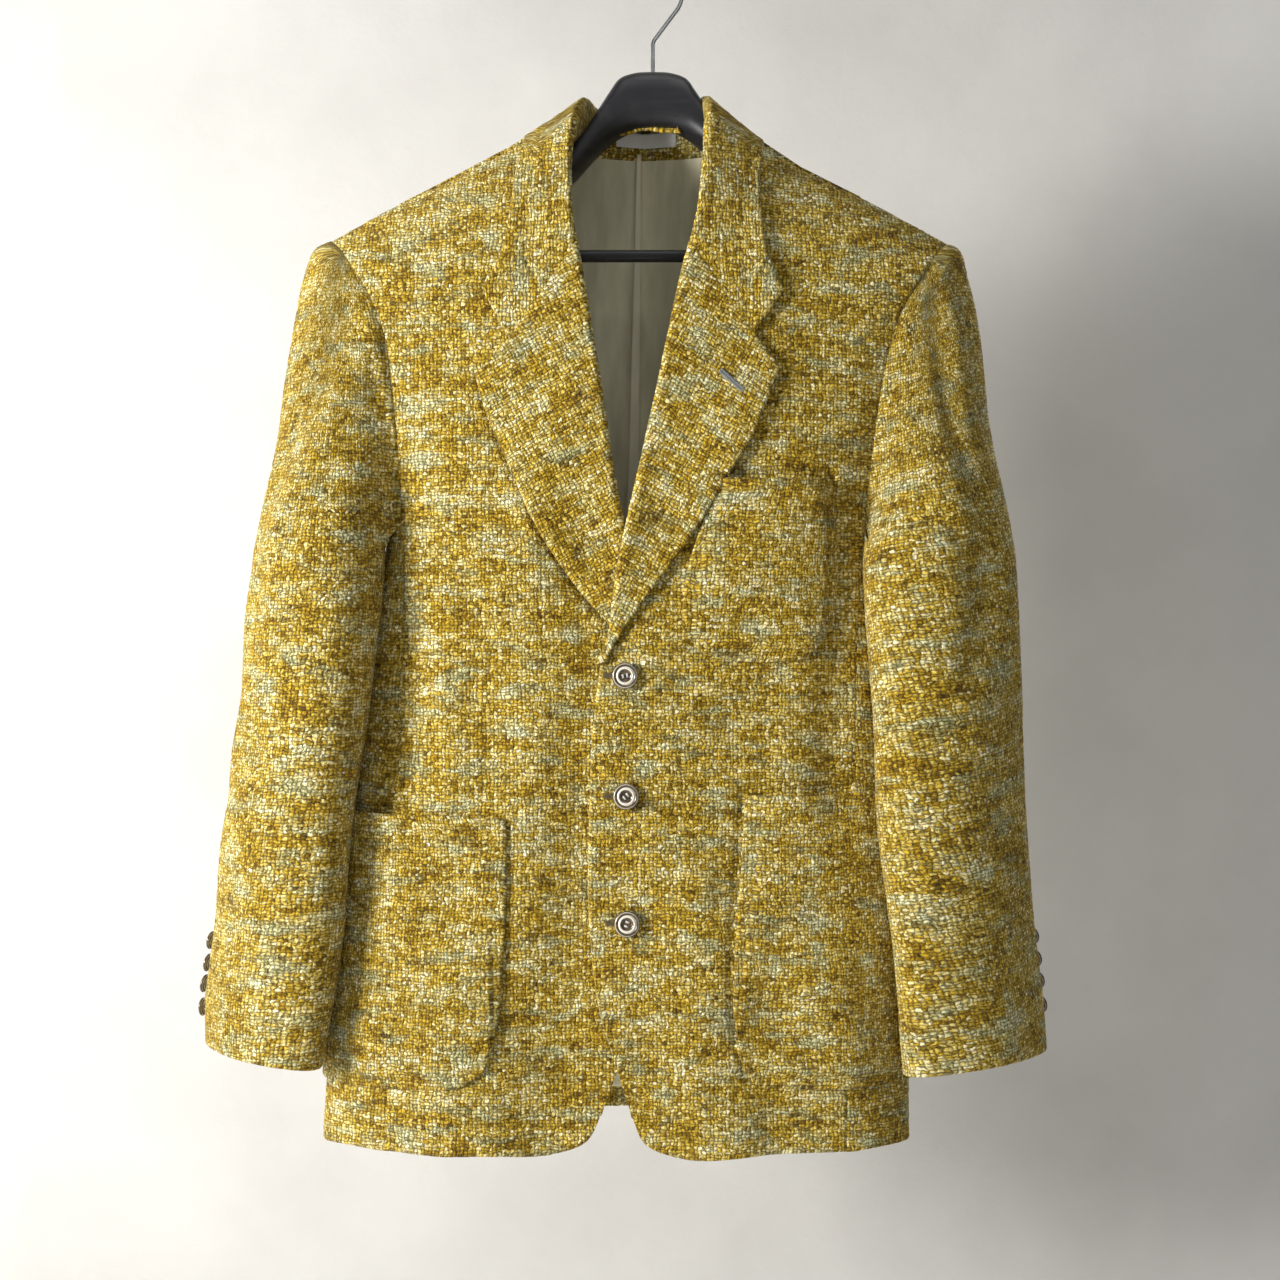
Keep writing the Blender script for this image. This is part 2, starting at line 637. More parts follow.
def groove(out, z, side):
    """How far the cloth is pressed in beside the edges of a pocket or lapel."""
    if side == RIGHT:
        return 2.6 * bump(out, z, [(a + 3.0, b) for a, b in LAPEL_EDGE[RIGHT]], 3.2)
    chest = 4.5 * bump(out, z, [(64, -403.5), (147, -403)], 4.2)
    mouth_side = [(149, -406), (154, -440), (156.5, -485), (154, -512), (145, -530)]
    chest = chest + 2.6 * bump(out, z, mouth_side, 3.2)
    lower = 2.4 * bump(out, z, [(172, -638), (88, -638.5), (81.5, -775), (86, -826), (98, -853)], 3.2)
    return chest + lower


def front_surface(g, side):
    out, z = g[..., 0], g[..., 1]
    return coat(out, z, side, under(out, side, z) - groove(out, z, side))


def front_panel(side, name, *nodes):
    rows = np.linspace(0, 1, steps(900)) ** 1.25
    share = np.linspace(0, 1, steps(200))
    fine = np.linspace(0, 1, 90)
    button_stand = (-19.5, -541)
    fall = [(out + 3.0, z) for out, z in [(46.5, -108.2), *ROLL[side][:-1]]] + [button_stand]
    low = curve([button_stand, *EDGE[1:]], np.linspace(0, 1, 120))
    left = line(np.concatenate([curve(fall, np.linspace(0, 1, 160)), low[1:]]), rows)
    right = line(np.concatenate([curve([TIP[side], *ARMHOLE], fine), curve(SIDE, fine)[1:]]), rows)
    crown = line([(49.5, -110), TIP[side]], share)
    crown[:, 1] = crest(crown[:, 0], side)
    hem = curve(CORNER + HEM[1:], share)
    left[0], right[0], left[-1], right[-1] = crown[0], crown[-1], hem[0], hem[-1]
    g = patch(left, right, crown, hem)
    wave = noise(g[..., :1] * [side, 0, 0], 46, 8)
    g[..., 1] += 0.9 * wave * smooth(-g[..., 1], 840, 900)
    p = front_surface(g, side)
    dart = bump(g[..., 0], g[..., 1], [(104, -505), (105, -650)], 1.6)
    p[..., 1] += 0.9 * dart
    uv = turned(p[..., 0], p[..., 2], 0, (0 if side > 0 else 1700, 0))
    obj = cloth(name, p, uv, TWEED, thick=4.2, flip=side > 0)
    finished(obj, "jacket", "tweed", *nodes)


def body_ring(turns, z, side, off=0.0):
    """Points round the body's side below the arm: turn is 0 in front and 180 behind, in degrees."""
    b = np.radians(turns)
    across = (half_width(z) + off) * np.abs(np.sin(b)) ** (2 / SQUARE)
    deep = (half_deep(z) + off) * np.sign(np.cos(b)) * np.abs(np.cos(b)) ** (2 / SQUARE)
    x = middle(z) + side * across
    folds = np.where(deep > 0, front_folds(x, z), back_folds(x, z)) * smooth(np.abs(deep), 4, 30)
    return np.stack([x, -6 - deep - np.sign(deep) * folds, z], -1)


def turn_at(out, z):
    """The body_ring turn, in degrees, of a front point."""
    return np.degrees(np.arcsin(np.clip(out / half_width(z), 0, 1) ** (SQUARE / 2)))


def side_panel(side, name, *nodes):
    z = np.linspace(-420, -909, steps(490))
    share = np.linspace(0, 1, steps(150))[None]
    first = turn_at(np.interp(z, [-490, -432], [172, 176]), z)[:, None]
    turns = first + (180 - first - first) * share
    hem = (3 * share + 1.2 * np.sin(share * 9)) * smooth(-z, 780, 899)[:, None]
    p = body_ring(turns, z[:, None] + hem, side, -0.4)
    p[..., 0] += side * 2.0 * noise(p, (60, 60, 150), 31)
    obj = cloth(name, p, grid_uv(p, 0, (900 * side, 300)), TWEED, thick=3.0, flip=side > 0)
    finished(obj, "jacket", "tweed", *nodes)


def back_panel(side, name, *nodes):
    rows = np.linspace(0, 1, steps(880)) ** 1.25
    share = np.linspace(0, 1, steps(230))
    fine = np.linspace(0, 1, 90)
    hole = [(46 * math.cos(a), 24 * math.sin(a)) for a in np.radians([0, 25, 50, 72, 90])]
    neck = [
        (out, crest(out, side) - SADDLE_DROP * (1 - math.sqrt(1 - min(1, (y + 1) / SADDLE_DEEP) ** 2)))
        for out, y in hole
    ]
    left = line([(0, -103.5), (0, -300), (0, -901)], rows)
    seam = curve(SIDE[:-1] + [(172, -905)], fine)[1:]
    right = line(np.concatenate([curve([TIP[side], *BACK_ARMHOLE], fine), seam]), rows)
    beyond = np.linspace(46, TIP[side][0], 60)[1:]
    arc = curve(neck[::-1], np.linspace(0, 1, 40))
    crown = line(np.concatenate([arc, np.stack([beyond, crest(beyond, side)], -1)]), share)
    hem = line([(0, -901), (172, -905)], share)
    left[0], right[0], left[-1], right[-1] = crown[0], crown[-1], hem[0], hem[-1]
    g = patch(left, right, crown, hem)
    p = coat(g[..., 0], g[..., 1], side, back=True)
    p[..., 1] -= 2.2 * np.exp(-((g[..., 0] / 1.8) ** 2))     # the centre seam
    uv = turned(p[..., 0], p[..., 2], 0, (2600 * side, 900))
    obj = cloth(name, p, uv, TWEED, thick=3.0, flip=side < 0)
    finished(obj, "jacket", "tweed", *nodes)


# ---- Lapels and collar ------------------------------------------------------------------------
def rolled(name, base, lift, uv_of, sign, roll_turn, tail, thick):
    """Cloth folded along its first column: it lies on base, and turns round the fold to the inside.
    lift is the height at each point, roll_turn the angle of the fold and tail the length hidden inside."""
    n = grid_normals(base) * sign
    top = base + n * lift[..., None]
    away = unit(top[:, 3] - top[:, 0])
    up = unit(n[:, 1] - away * np.sum(n[:, 1] * away, 1, keepdims=True))
    r = ((lift[:, 0] + UNDERSIDE) / 2)[:, None]
    centre = top[:, 0] - up * r
    last = np.radians(roll_turn)[:, None]
    end = centre + r * (up * np.cos(last) - away * np.sin(last))
    heading = -up * np.sin(last) - away * np.cos(last)
    columns = [end + heading * (tail[:, None] * share) for share in np.linspace(1, 0, steps(16, 4))[:-1]]
    for a in last * np.linspace(1, 0, 9)[:-1, None, None]:
        columns.append(centre + r * (up * np.cos(a) - away * np.sin(a)))
    p = np.concatenate([np.stack(columns, 1), top], 1)
    return cloth(name, p, uv_of(p, len(columns)), TWEED, thick=thick, flip=sign < 0)


UNDERSIDE = 4.0     # how far under its base a fold comes back
LAPEL_EDGE = {
    LEFT: [(103.5, -324), (97.5, -341), (84, -375), (69, -402), (44.5, -444), (8, -496), (-21, -541)],
    RIGHT: [(117, -329), (112, -346), (103, -368), (86, -404), (66, -445), (36, -487), (18, -507),
            (-14, -548)],
}
NOTCH = {LEFT: (84.5, -299), RIGHT: (94, -303)}
COLLAR_TIP = {LEFT: (105, -267), RIGHT: (115, -266)}


def lapel(side, name, *nodes):
    rows = np.linspace(0, 1, steps(340))
    share = np.linspace(0, 1, steps(95))
    start = (float(np.interp(236, [-z for _, z in ROLL[side]], [out for out, _ in ROLL[side]])), -236)
    roll = curve([start, *[place for place in ROLL[side] if place[1] < -240]], rows)
    roll[:, 0] += 4.0 * (1 - rows) ** 0.3
    edge = curve(LAPEL_EDGE[side], rows)
    top = line([roll[0], NOTCH[side], LAPEL_EDGE[side][0]], share)
    foot = line([roll[-1], edge[-1]], share)
    base = front_surface(patch(roll, edge, top, foot), side)
    v, u = rows[:, None], share[None]
    narrow = smooth(1 - v, 0.0, 0.25)
    lift = 4.4 + (2.6 + 1.5 * np.sin(3 * v)) * (1 - u) ** 1.6 * narrow + 1.4 * u**4 * narrow
    lift = lift - 2.0 * (1 - narrow) * (1 - u) + 0.7 * noise(base, (40, 40, 40), 41) * u

    def uv_of(p, _):
        out = (p[..., 0] - middle(p[..., 2])) * side
        return turned(-out, p[..., 2], 27, (3400 + 300 * side, 500))

    tail = 14.0 * (1 - rows) ** 0.5 + 0.5
    obj = rolled(name, base, lift, uv_of, -side, np.full(len(rows), 180.0), tail, thick=3.2)
    finished(obj, "jacket", "tweed", *nodes)


def collar_half(side):
    """One side of the collar, from its tip to the middle of the back: its grid, rows and shares."""
    rows = np.linspace(0, 1, steps(230))
    share = np.linspace(0, 1, steps(70))
    heights = (-236, -214, -190, -165, -138, -116)
    drops, outs = [116, *[-z for _, z in ROLL[side]]], [47, *[out for out, _ in ROLL[side]]]
    reach = np.interp([-z for z in heights], drops, outs)
    tip = COLLAR_TIP[side]
    extra = 3.0 if side == RIGHT else -6.0
    places = [tip, (103 + extra, -250), (96 + extra, -226), (92.5 + extra, -190), (91 + extra / 2, -160),
              (90, -145)]

    def track(front, behind):
        """Smooth line of (out, turn) points, with the front ones given by their heights."""
        points = [(out, turn_of(out, z, side)) for out, z in front] + behind
        fine = np.linspace(0, 1, 400)
        q = curve(points, fine, (0, 0.10, 0.23, 0.36, 0.48, 0.58, 0.66, 0.77, 0.88, 1.0))
        return np.stack([np.interp(rows, fine, q[:, k]) for k in (0, 1)], -1)

    roll = track(zip(reach, heights), [(46, 0.0), (40, 12.5), (24, 21.5), (0, 25.5)])
    edge = track(places, [(89, 3.0), (70, 37.0), (40, 50.0), (0, 53.0)])
    roll[:, 0] += 4.0 * (1 - smooth(rows, 0.5, 0.66))
    notch = (NOTCH[side][0], turn_of(*NOTCH[side], side))
    top = line([roll[0], notch, (tip[0], turn_of(*tip, side))], share)
    foot = line([roll[-1], edge[-1]], share)
    return patch(roll, edge, top, foot), rows, share


def collar():
    halves = []
    for side in (LEFT, RIGHT):
        g, rows, share = collar_half(side)
        base = ridge_point(g[..., 0], g[..., 1], side)
        # in front, follow the coat body itself
        follow = coat(g[..., 0], base[..., 2], side, folds=False)
        keep = smooth(-g[..., 1], 25, 50)
        base[..., 1] = base[..., 1] * (1 - keep) + follow[..., 1] * keep
        # behind, the two shoulder lines meet in a round curve
        base[..., 2] -= SLOPE * (np.hypot(g[..., 0], 16) - g[..., 0]) * smooth(g[..., 1], 5, 25)
        v, u = rows[:, None], share[None]
        lift = 4.0 + 2.8 * (1 - u) ** 1.5 + 2.2 * smooth(u, 0.6, 1.0) * smooth(0.5 - v, 0.0, 0.4)
        lift = lift + 0.5 * noise(base, (36, 36, 36), 43)
        fold = 180 - 74 * smooth(rows, 0.34, 0.66)
        tail = 13 + 17 * smooth(rows, 0.45, 0.75)
        halves.append((base, lift, fold, tail))
    base, lift, fold, tail = (np.concatenate([a, b[-2::-1]]) for a, b in zip(*halves))

    def uv_of(p, extra):
        run = np.r_[0, np.cumsum(np.linalg.norm(np.diff(p[:, extra + 8], axis=0), axis=1))]
        half = run[-1] / 2
        far = np.abs(run - half)[:, None] * np.ones(p.shape[1])
        front = smooth(far, 0.30 * half, 0.50 * half)
        away = np.abs(p[..., 0] - NECK_X)
        deep = np.cumsum(np.linalg.norm(np.diff(p, axis=1, prepend=p[:, :1]), axis=2), 1) - 30
        along = 1.15 * away * (1 - front) - p[..., 2] * front + 5200
        return np.stack([along, deep * (1 - front) + away * front], -1)

    obj = rolled("collar_leaf", base, lift, uv_of, LEFT, fold, tail, thick=3.6)
    finished(obj, "jacket", "tweed", "collar", "collar_stand")


# ---- Pockets --------------------------------------------------------------------------------
def pocket(side, name, node, places, width, height, lift_at_mouth):
    """Patch pocket: places are its mouth, inner side, foot and outer side, as outline points."""
    mouth, inner, foot, outer = places
    rows = np.linspace(0, 1, steps(height))
    share = np.linspace(0, 1, steps(width))
    g = patch(curve(inner, rows), curve(outer, rows), curve(mouth, share), curve(foot, share))
    v, u = rows[:, None], share[None]
    if name.startswith("lower"):
        p = body_ring(g[..., 0], g[..., 1], side)
        if side == RIGHT:
            out = (p[..., 0] - middle(p[..., 2])) * side
            p[..., 1] -= under(out, side, p[..., 2])
    else:
        p = front_surface(g, side)
    n = grid_normals(p) * -side
    rim = np.minimum(np.minimum(u, 1 - u) * width, (1 - v) * height)
    puff = 1.8 * smooth(rim, 0, 11) + 1.3 * noise(p, (34, 34, 34), 51) * smooth(rim, 0, 16)
    gape = lift_at_mouth * np.exp(-v * height / 16) * np.sin(math.pi * np.clip(u, 0, 1)) ** 0.6
    stitch = -1.5 * np.exp(-(((rim - 7.0) / 1.7) ** 2)) * smooth(v, 0.0, 0.03)
    p = p + n * (3.2 + puff + gape + stitch)[..., None]
    across = p[..., 0] + side * (p[..., 1] - p[..., 1].min())
    uv = turned(across, p[..., 2], 0, (600 + 1100 * side, 4100))
    obj = cloth(name, p, uv, TWEED, thick=2.8, flip=side > 0)
    finished(obj, "jacket", "tweed", node)


def lower_pocket(side, name, node):
    """Lower pocket, which runs round onto the side panel; its points are turns and heights."""
    if side == RIGHT:
        top_in, low_in, heel = (89.7, -660), (90, -790), (96, -836)
    else:
        top_in, low_in, heel = (90, -643), (85, -775), (90, -828)

    def around(*points):
        return [(float(turn_at(out, z)), z) for out, z in points]

    end, bottom = 100.0, -860
    top = top_in[1]
    inner = around(top_in, (top_in[0] - 2, -715), low_in, (low_in[0] + 1, -812), heel)
    foot = around(heel, (heel[0] + 7, -849), (heel[0] + 22, -857.5), (150, bottom), (196, bottom))
    foot += [(end, bottom)]
    mouth = around(top_in, (130, top - 1.0), (170, top + 1)) + [(end, top + 4)]
    outer = [(end, top + 4), (end, -750), (end, bottom)]
    pocket(side, name, node, (mouth, inner, foot, outer), 165, 215, 4.5)


def chest_pocket():
    mouth = [(63, -408.5), (100, -409.5), (146, -408)]
    inner = [(63, -408.5), (52, -440), (42, -478), (40, -508), (44, -524)]
    foot = [(44, -524), (52, -533), (66, -537.5), (112, -541), (132, -538), (142, -527)]
    outer = [(146, -408), (150, -440), (152.5, -485), (150, -510), (142, -527)]
    pocket(LEFT, "chest_pocket_patch", "chest_pocket", (mouth, inner, foot, outer), 108, 125, 5.5)


# ---- Sleeves --------------------------------------------------------------------------------
SLEEVES = {  # height, inner and outer reach from x = 0, half depth, depth place
    LEFT: [(-470, 158, 278, 42, -31), (-572, 163, 284, 37, -33), (-648, 167, 286, 34, -34),
           (-740, 175, 293, 31, -34),
           (-801, 182, 300, 29, -34), (-844, 186, 303, 28, -34)],
    RIGHT: [(-470, 204, 305, 43, -31), (-572, 213, 317, 39, -33), (-648, 223, 326, 36, -34),
            (-740, 232, 336, 33, -34),
            (-801, 240, 344, 31, -34), (-839, 247, 343, 30, -34)],
}
CAP_OUTLINE = {
    LEFT: [(229, -219), (233, -224.5), (239, -236), (245, -253.7), (251, -280), (254.6, -304), (261, -356),
           (271, -418), (278, -470)],
    RIGHT: [(-249, -219), (-258, -225.5), (-266, -236.7), (-271.5, -253), (-275.5, -272), (-281, -304),
            (-289, -358), (-300, -419), (-307, -470)],
}
SLEEVE_FOLDS = {  # line of a fold in shares round and down the sleeve, its width, and its height
    LEFT: [
        ([(0.09, 0.03), (0.17, 0.20), (0.22, 0.42), (0.26, 0.52)], 0.030, -3.6),
        ([(0.26, 0.10), (0.30, 0.42)], 0.05, 2.0),
        ([(0.30, 0.30), (0.20, 0.52), (0.10, 0.60)], 0.035, -2.2),
        ([(0.32, 0.60), (0.16, 0.72)], 0.04, -1.8),
    ],
    RIGHT: [
        ([(0.30, 0.24), (0.18, 0.44), (0.08, 0.56)], 0.035, -2.2),
        ([(0.30, 0.56), (0.16, 0.66), (0.05, 0.70)], 0.035, -2.4),
        ([(0.20, 0.05), (0.215, 0.42)], 0.04, 2.4),
        ([(0.12, 0.06), (0.13, 0.40)], 0.035, -2.0),
    ],
}
SLEEVE_BODY = {LEFT: "left_sleeve", RIGHT: "right_sleeve"}


def sleeve_rings(side, angle, inset):
    """Level rings of a sleeve from its top to the cuff, each a leaning ellipse."""
    lean = math.radians(24)
    stations = np.array(SLEEVES[side])
    rings = []
    for level in np.linspace(-470, stations[-1, 0], steps(390)):
        near, far, half, y0 = (np.interp(-level, -stations[:, 0], stations[:, k]) for k in (1, 2, 3, 4))
        reach, deep = (far - near) / 2 - inset, half - inset
        wide = math.sqrt(max(reach**2 - (deep * math.sin(lean)) ** 2, 1)) / math.cos(lean)
        along, across = wide * np.cos(angle), deep * np.sin(angle)
        x = side * (near + far) / 2 + side * (along * math.cos(lean) + across * math.sin(lean))
        y = y0 + along * math.sin(lean) - across * math.cos(lean)
        rings.append(np.stack([x, y, np.full_like(x, level)], -1))
    return np.array(rings)


def armhole(side, half, inset):
    """Closed ring of points along the armhole, from the shoulder down the front and up the back."""
    t = np.linspace(0, 1, half)
    g, h = (
        curve([(out - 1.5, z - 1.0) for out, z in [TIP[side], *seam]], t) for seam in (ARMHOLE, BACK_ARMHOLE)
    )
    off = (-3.2 * smooth(t, 0.0, 0.25) + 0.6) - inset
    front = coat(g[:, 0], g[:, 1], side, off)
    behind = coat(h[:, 0], h[:, 1], side, off, back=True)
    return np.concatenate([front, behind[-2::-1]])


def sleeve_grid(side, inset=0.0, start=0.0, stop=1.0):
    """Rings of a sleeve from the armhole to the cuff: columns run round it from the top."""
    q = np.linspace(0, 1, steps(330) // 2 * 2 + 1)
    angle = 2 * math.pi * q
    hole = armhole(side, (len(q) + 1) // 2, inset)
    rings = sleeve_rings(side, angle, inset)
    top = rings[0]
    # the cap: from the armhole's seam out over the shoulder and down
    down = (1 - np.cos(angle)) / 2
    lead = unit(np.stack([side * (0.98 - 0.55 * down), -0.30 * np.sin(angle), -0.34 - 0.62 * down], -1))
    end = np.array([side * 0.05, 0, -1.0])[None]
    span = np.linalg.norm(top - hole, axis=1, keepdims=True)
    cap = []
    shares = np.linspace(0, 1, steps(260))[:-1]
    outline = curve(CAP_OUTLINE[side], shares)
    slack = outline[-1, 0] - top[0, 0]
    for f, (x, z) in zip(shares, outline):
        k = 2 * f**3 - 3 * f**2 + 1
        m0, m1 = (f**3 - 2 * f**2 + f) * span, (f**3 - f**2) * span
        row = k * hole + m0 * lead * 0.95 + (1 - k) * top + m1 * end * 1.15
        move = np.array([x - slack * f**3 - side * inset - row[0, 0], 0, z - row[0, 2]])
        fade = min(1.0, f / 0.05) * min(1.0, (1 - f) / 0.06)
        cap.append(row + move * (((1 + np.cos(angle)) / 2) ** 1.2)[:, None] * fade)
    p = np.concatenate([np.array(cap), rings])
    # the cuff's edge dips towards the front
    low = smooth(-p[..., 2], 770, 845)
    p[..., 2] += low * ((4.0 if side == LEFT else 6.0) * np.cos(angle) + 3.0 * np.sin(angle))[None]
    rows = np.linspace(0, 1, len(p))
    v, u = rows[:, None], q[None]
    d = 2.6 * np.exp(-(((v - 0.022) / 0.014) ** 2)) * (1 - 0.75 * down[None])
    for points, width, height in SLEEVE_FOLDS[side]:
        d = d + height * bump(u, v, points, width) + height * bump(u - 1.0, v, points, width)
    d = d + 2.0 * noise(p * [1, 1, 0.55], 46, 61 + side) * smooth(v, 0.06, 0.2)
    d[:, -1] = d[:, 0]
    p = p + grid_normals(p, True) * side * d[..., None]
    return p[(rows >= start) & (rows <= stop)]


def sleeve(side, name, *nodes):
    p = sleeve_grid(side)
    columns = p.shape[1]
    back_seam = int(0.935 * (columns - 1))
    p = np.roll(p[:, :-1], -back_seam, 1)
    p = np.concatenate([p, p[:, :1]], 1)
    stations = np.array(SLEEVES[side])
    down = -p[..., 2]
    near, far, deep = (np.interp(down, -stations[:, 0], stations[:, k]) for k in (1, 2, 3))
    shift = np.interp(down, [220, 470], [-14 if side == LEFT else -22, 0])
    across = (p[..., 0] * side - (near + far) / 2 - shift) / ((far - near) / 2)
    turn = np.unwrap(np.arctan2(-(p[..., 1] + 33) / deep, across), axis=1)
    turn = turn - 2 * math.pi * np.round((turn[:, [columns // 3]] - 1.2) / (2 * math.pi))
    uv = turned(-side * turn * 50, p[..., 2], 9 if side == LEFT else 0, (7000 + 900 * side, 0))
    obj = cloth(name, p, uv, TWEED, thick=3.4, wrap=True, flip=side < 0)
    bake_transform(obj)
    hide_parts(*nodes)


def sleeve_lining(side, name, *nodes):
    p = sleeve_grid(side, 5.2, 0.03, 0.955)
    obj = cloth(name, p, grid_uv(p), SATIN, thick=0.7, nub=0, wrap=True, flip=side < 0)
    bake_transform(obj)
    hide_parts(*nodes)


# ---- Linings, label, hanger -------------------------------------------------------------------
PLEAT_DROPS = [138, 300, 430, 884]


def back_lining():
    z = np.linspace(-138, -884, steps(760))[:, None]
    out = np.linspace(-1, 1, steps(330)) * np.interp(-z, [138, 170, 230, 300, 430, 560, 884],
                                                     [58, 120, 172, 172, 156, 152, 152])
    z = z + 0 * out
    p = coat(out, z, 1, -6.5, back=True)
    # centre pleat: a pressed fold that opens downward
    wide = np.interp(-z, PLEAT_DROPS, [3, 7, 10, 12])
    past = out + 5.5
    p[..., 1] -= 2.2 * smooth(past, -1.2, 1.2) * (1 - smooth(past, wide - 0.8, wide + 0.8))
    waves = 1.6 * np.sin(out / 13.0 + z / 90.0) * smooth(np.abs(out), 12, 60)
    p[..., 1] -= waves + 1.5 * noise(p, (26, 26, 120), 71)
    obj = cloth("back_lining", p, grid_uv(p), SATIN, thick=0.7, nub=0)
    finished(obj, "jacket", "lining", "lining_back")


def lining_pleat():
    """The pleat's own pale strip."""
    z = -139 - 600 * np.linspace(0, 1, steps(600))[:, None]
    out = -5.3 + np.interp(-z, PLEAT_DROPS, [2.6, 6.2, 9.0, 11]) * np.linspace(0, 1, 6)
    p = coat(out, z + 0 * out, 1, -6.5, back=True)
    p[..., 1] -= 3.6 + 0.6 * np.sin(z / 30) + 1.5 * noise(p, (26, 26, 120), 71)
    strip = cloth("lining_pleat", p, grid_uv(p), PLEAT, thick=0.6, nub=0)
    finished(strip, "jacket", "lining")


def front_lining(side, name, *nodes):
    rows = np.linspace(0, 1, steps(760))
    share = np.linspace(0, 1, steps(130))
    roll = line([(62, -150), (58, -236), (44, -350), (30, -436), (22, -541), (24, -880)], rows)
    outer = line([(170, -200), (172, -300), (162, -430), (152, -520), (152, -884)], rows)
    g = patch(roll, outer, line([roll[0], outer[0]], share), line([roll[-1], outer[-1]], share))
    p = coat(g[..., 0], g[..., 1], side, -9.5 + under(g[..., 0], side, g[..., 1]))
    p[..., 1] += 1.2 * noise(p, (30, 30, 110), 73)
    obj = cloth(name, p, grid_uv(p), SATIN, thick=0.7, nub=0, flip=side < 0)
    finished(obj, "jacket", "lining", *nodes)


def neck_facing():
    z = np.linspace(-124, -141, 12)[:, None]
    out = np.interp(z, [-141, -124], [62, 50]) * np.linspace(-1, 1, 60)
    p = coat(out, z + 0 * out, 1, -5.0, back=True, folds=False)
    p[..., 1] -= 1.5
    obj = cloth("neck_facing", p, grid_uv(p), TWEED, thick=2.4)
    finished(obj, "jacket", "tweed", "back_neck_facing")


def neck_tab():
    out, z = np.meshgrid(np.linspace(-22, 25, 30), np.linspace(-123.5, -133.5, 8))
    p = coat(out, z, 1, -5.0, back=True, folds=False)
    p[..., 1] -= 4.6
    obj = cloth("neck_tab", p, grid_uv(p), LABEL, thick=0.5, nub=0)
    finished(obj, "jacket", "label", "neck_label")


def hanger():
    """Moulded hanger: a domed head that runs down into two rounded arms."""
    xs = np.linspace(-206, 206, 245)[:, None]
    fine = np.linspace(0, 1, 500)
    crown = curve([(0, -84), (14, -85), (26, -89.5), (33, -99), (40, -110), (53, -130), (62, -142),
                   (100, -165),
                   (150, -193), (190, -215), (206, -226)], fine)
    sole = curve([(0, -127), (14, -128.5), (26, -134), (38, -143), (50, -155), (60, -166), (100, -187),
                  (150, -212),
                  (190, -234), (206, -238)], fine)
    high, low = (np.interp(np.abs(xs), edge[:, 0], edge[:, 1]) for edge in (crown, sole))
    deep = np.interp(np.abs(xs), [0, 20, 34, 50, 80, 140, 190, 206], [15, 15.5, 16.5, 18, 20, 21, 18, 9])
    c, s = np.cos(np.linspace(0, 2 * math.pi, 49)), np.sin(np.linspace(0, 2 * math.pi, 49))
    y = np.interp(np.abs(xs), [0, 40, 120, 206], [0, 0, -2, -5])
    y = y + deep * np.sign(c) * np.abs(c) ** (2 / SQUARE)
    z = (high + low) / 2 + (high - low) / 2 * np.sign(s) * np.abs(s) ** (2 / SQUARE)
    p = np.stack([xs + 0 * y, y, z], -1)
    rows, columns = p.shape[:2]
    quads = grid_quads(rows, columns)[:, ::-1].tolist()
    caps = [list(range(columns - 1))[::-1], [(rows - 1) * columns + k for k in range(columns - 1)]]
    obj = make_mesh("hanger_moulding", p.reshape(-1, 3), quads + caps, grid_uv(p).reshape(-1, 2), BLACK)
    weld = obj.modifiers.new("weld", "WELD")
    weld.merge_threshold = 0.00002
    finished(obj, "jacket", "hanger_plastic", "hanger_body")


# ---- Buttons ---------------------------------------------------------------------------------
class Parts:
    """Points and faces of several solids that make one mesh."""

    def __init__(self):
        self.points, self.faces, self.count = [], [], 0

    def add(self, points, faces, turn, at):
        """Add a solid, turned and then moved to its place."""
        self.faces += [[i + self.count for i in face] for face in faces]
        self.points.append(points @ turn.T + at)
        self.count += len(points)

    def mesh(self, name, material, uv=None):
        return make_mesh(name, np.concatenate(self.points), self.faces, uv, material)


def tube_faces(rings, sides):
    """Faces of a closed tube made of rings, with its two ends."""
    faces = []
    for j in range(rings - 1):
        for k in range(sides):
            m = (k + 1) % sides
            faces.append([j * sides + k, j * sides + m, (j + 1) * sides + m, (j + 1) * sides + k])
    return faces + [list(range(sides))[::-1], [(rings - 1) * sides + k for k in range(sides)]]


def lathe(profile, turns=64):
    """Mesh points, faces and cloth coordinates of a profile (radius, height) turned about its axis."""
    a = np.linspace(0, 2 * math.pi, turns, endpoint=False)
    points = [np.stack([r * np.cos(a), r * np.sin(a), np.full(turns, h)], -1) for r, h in profile]
    uv = [np.stack([np.full(turns, r), a * 10], -1) for r, _ in profile]
    return np.concatenate(points), tube_faces(len(profile), turns), np.concatenate(uv)


def sweep(path, radius, sides=8):
    """Round tube along a path, as points and faces."""
    t = unit(np.gradient(path, axis=0))
    u = unit(np.cross(t, np.array([0.3, 0.9, 0.2])))
    w = np.cross(t, u)
    a = np.linspace(0, 2 * math.pi, sides, endpoint=False)[None, :, None]
    ring = path[:, None] + radius * (u[:, None] * np.cos(a) + w[:, None] * np.sin(a))
    return ring.reshape(-1, 3), [face[::-1] for face in tube_faces(len(path), sides)]


def frame_at(place, face):
    """Rotation whose third axis points along face, and the place."""
    w = unit(np.array(face, float))
    u = unit(np.cross([0, 0, 1.0], w))
    return np.array([u, np.cross(w, u), w]).T, np.array(place, float)


def spin(angle):
    c, s = math.cos(angle), math.sin(angle)
    return np.array([[c, -s, 0], [s, c, 0], [0, 0, 1]])


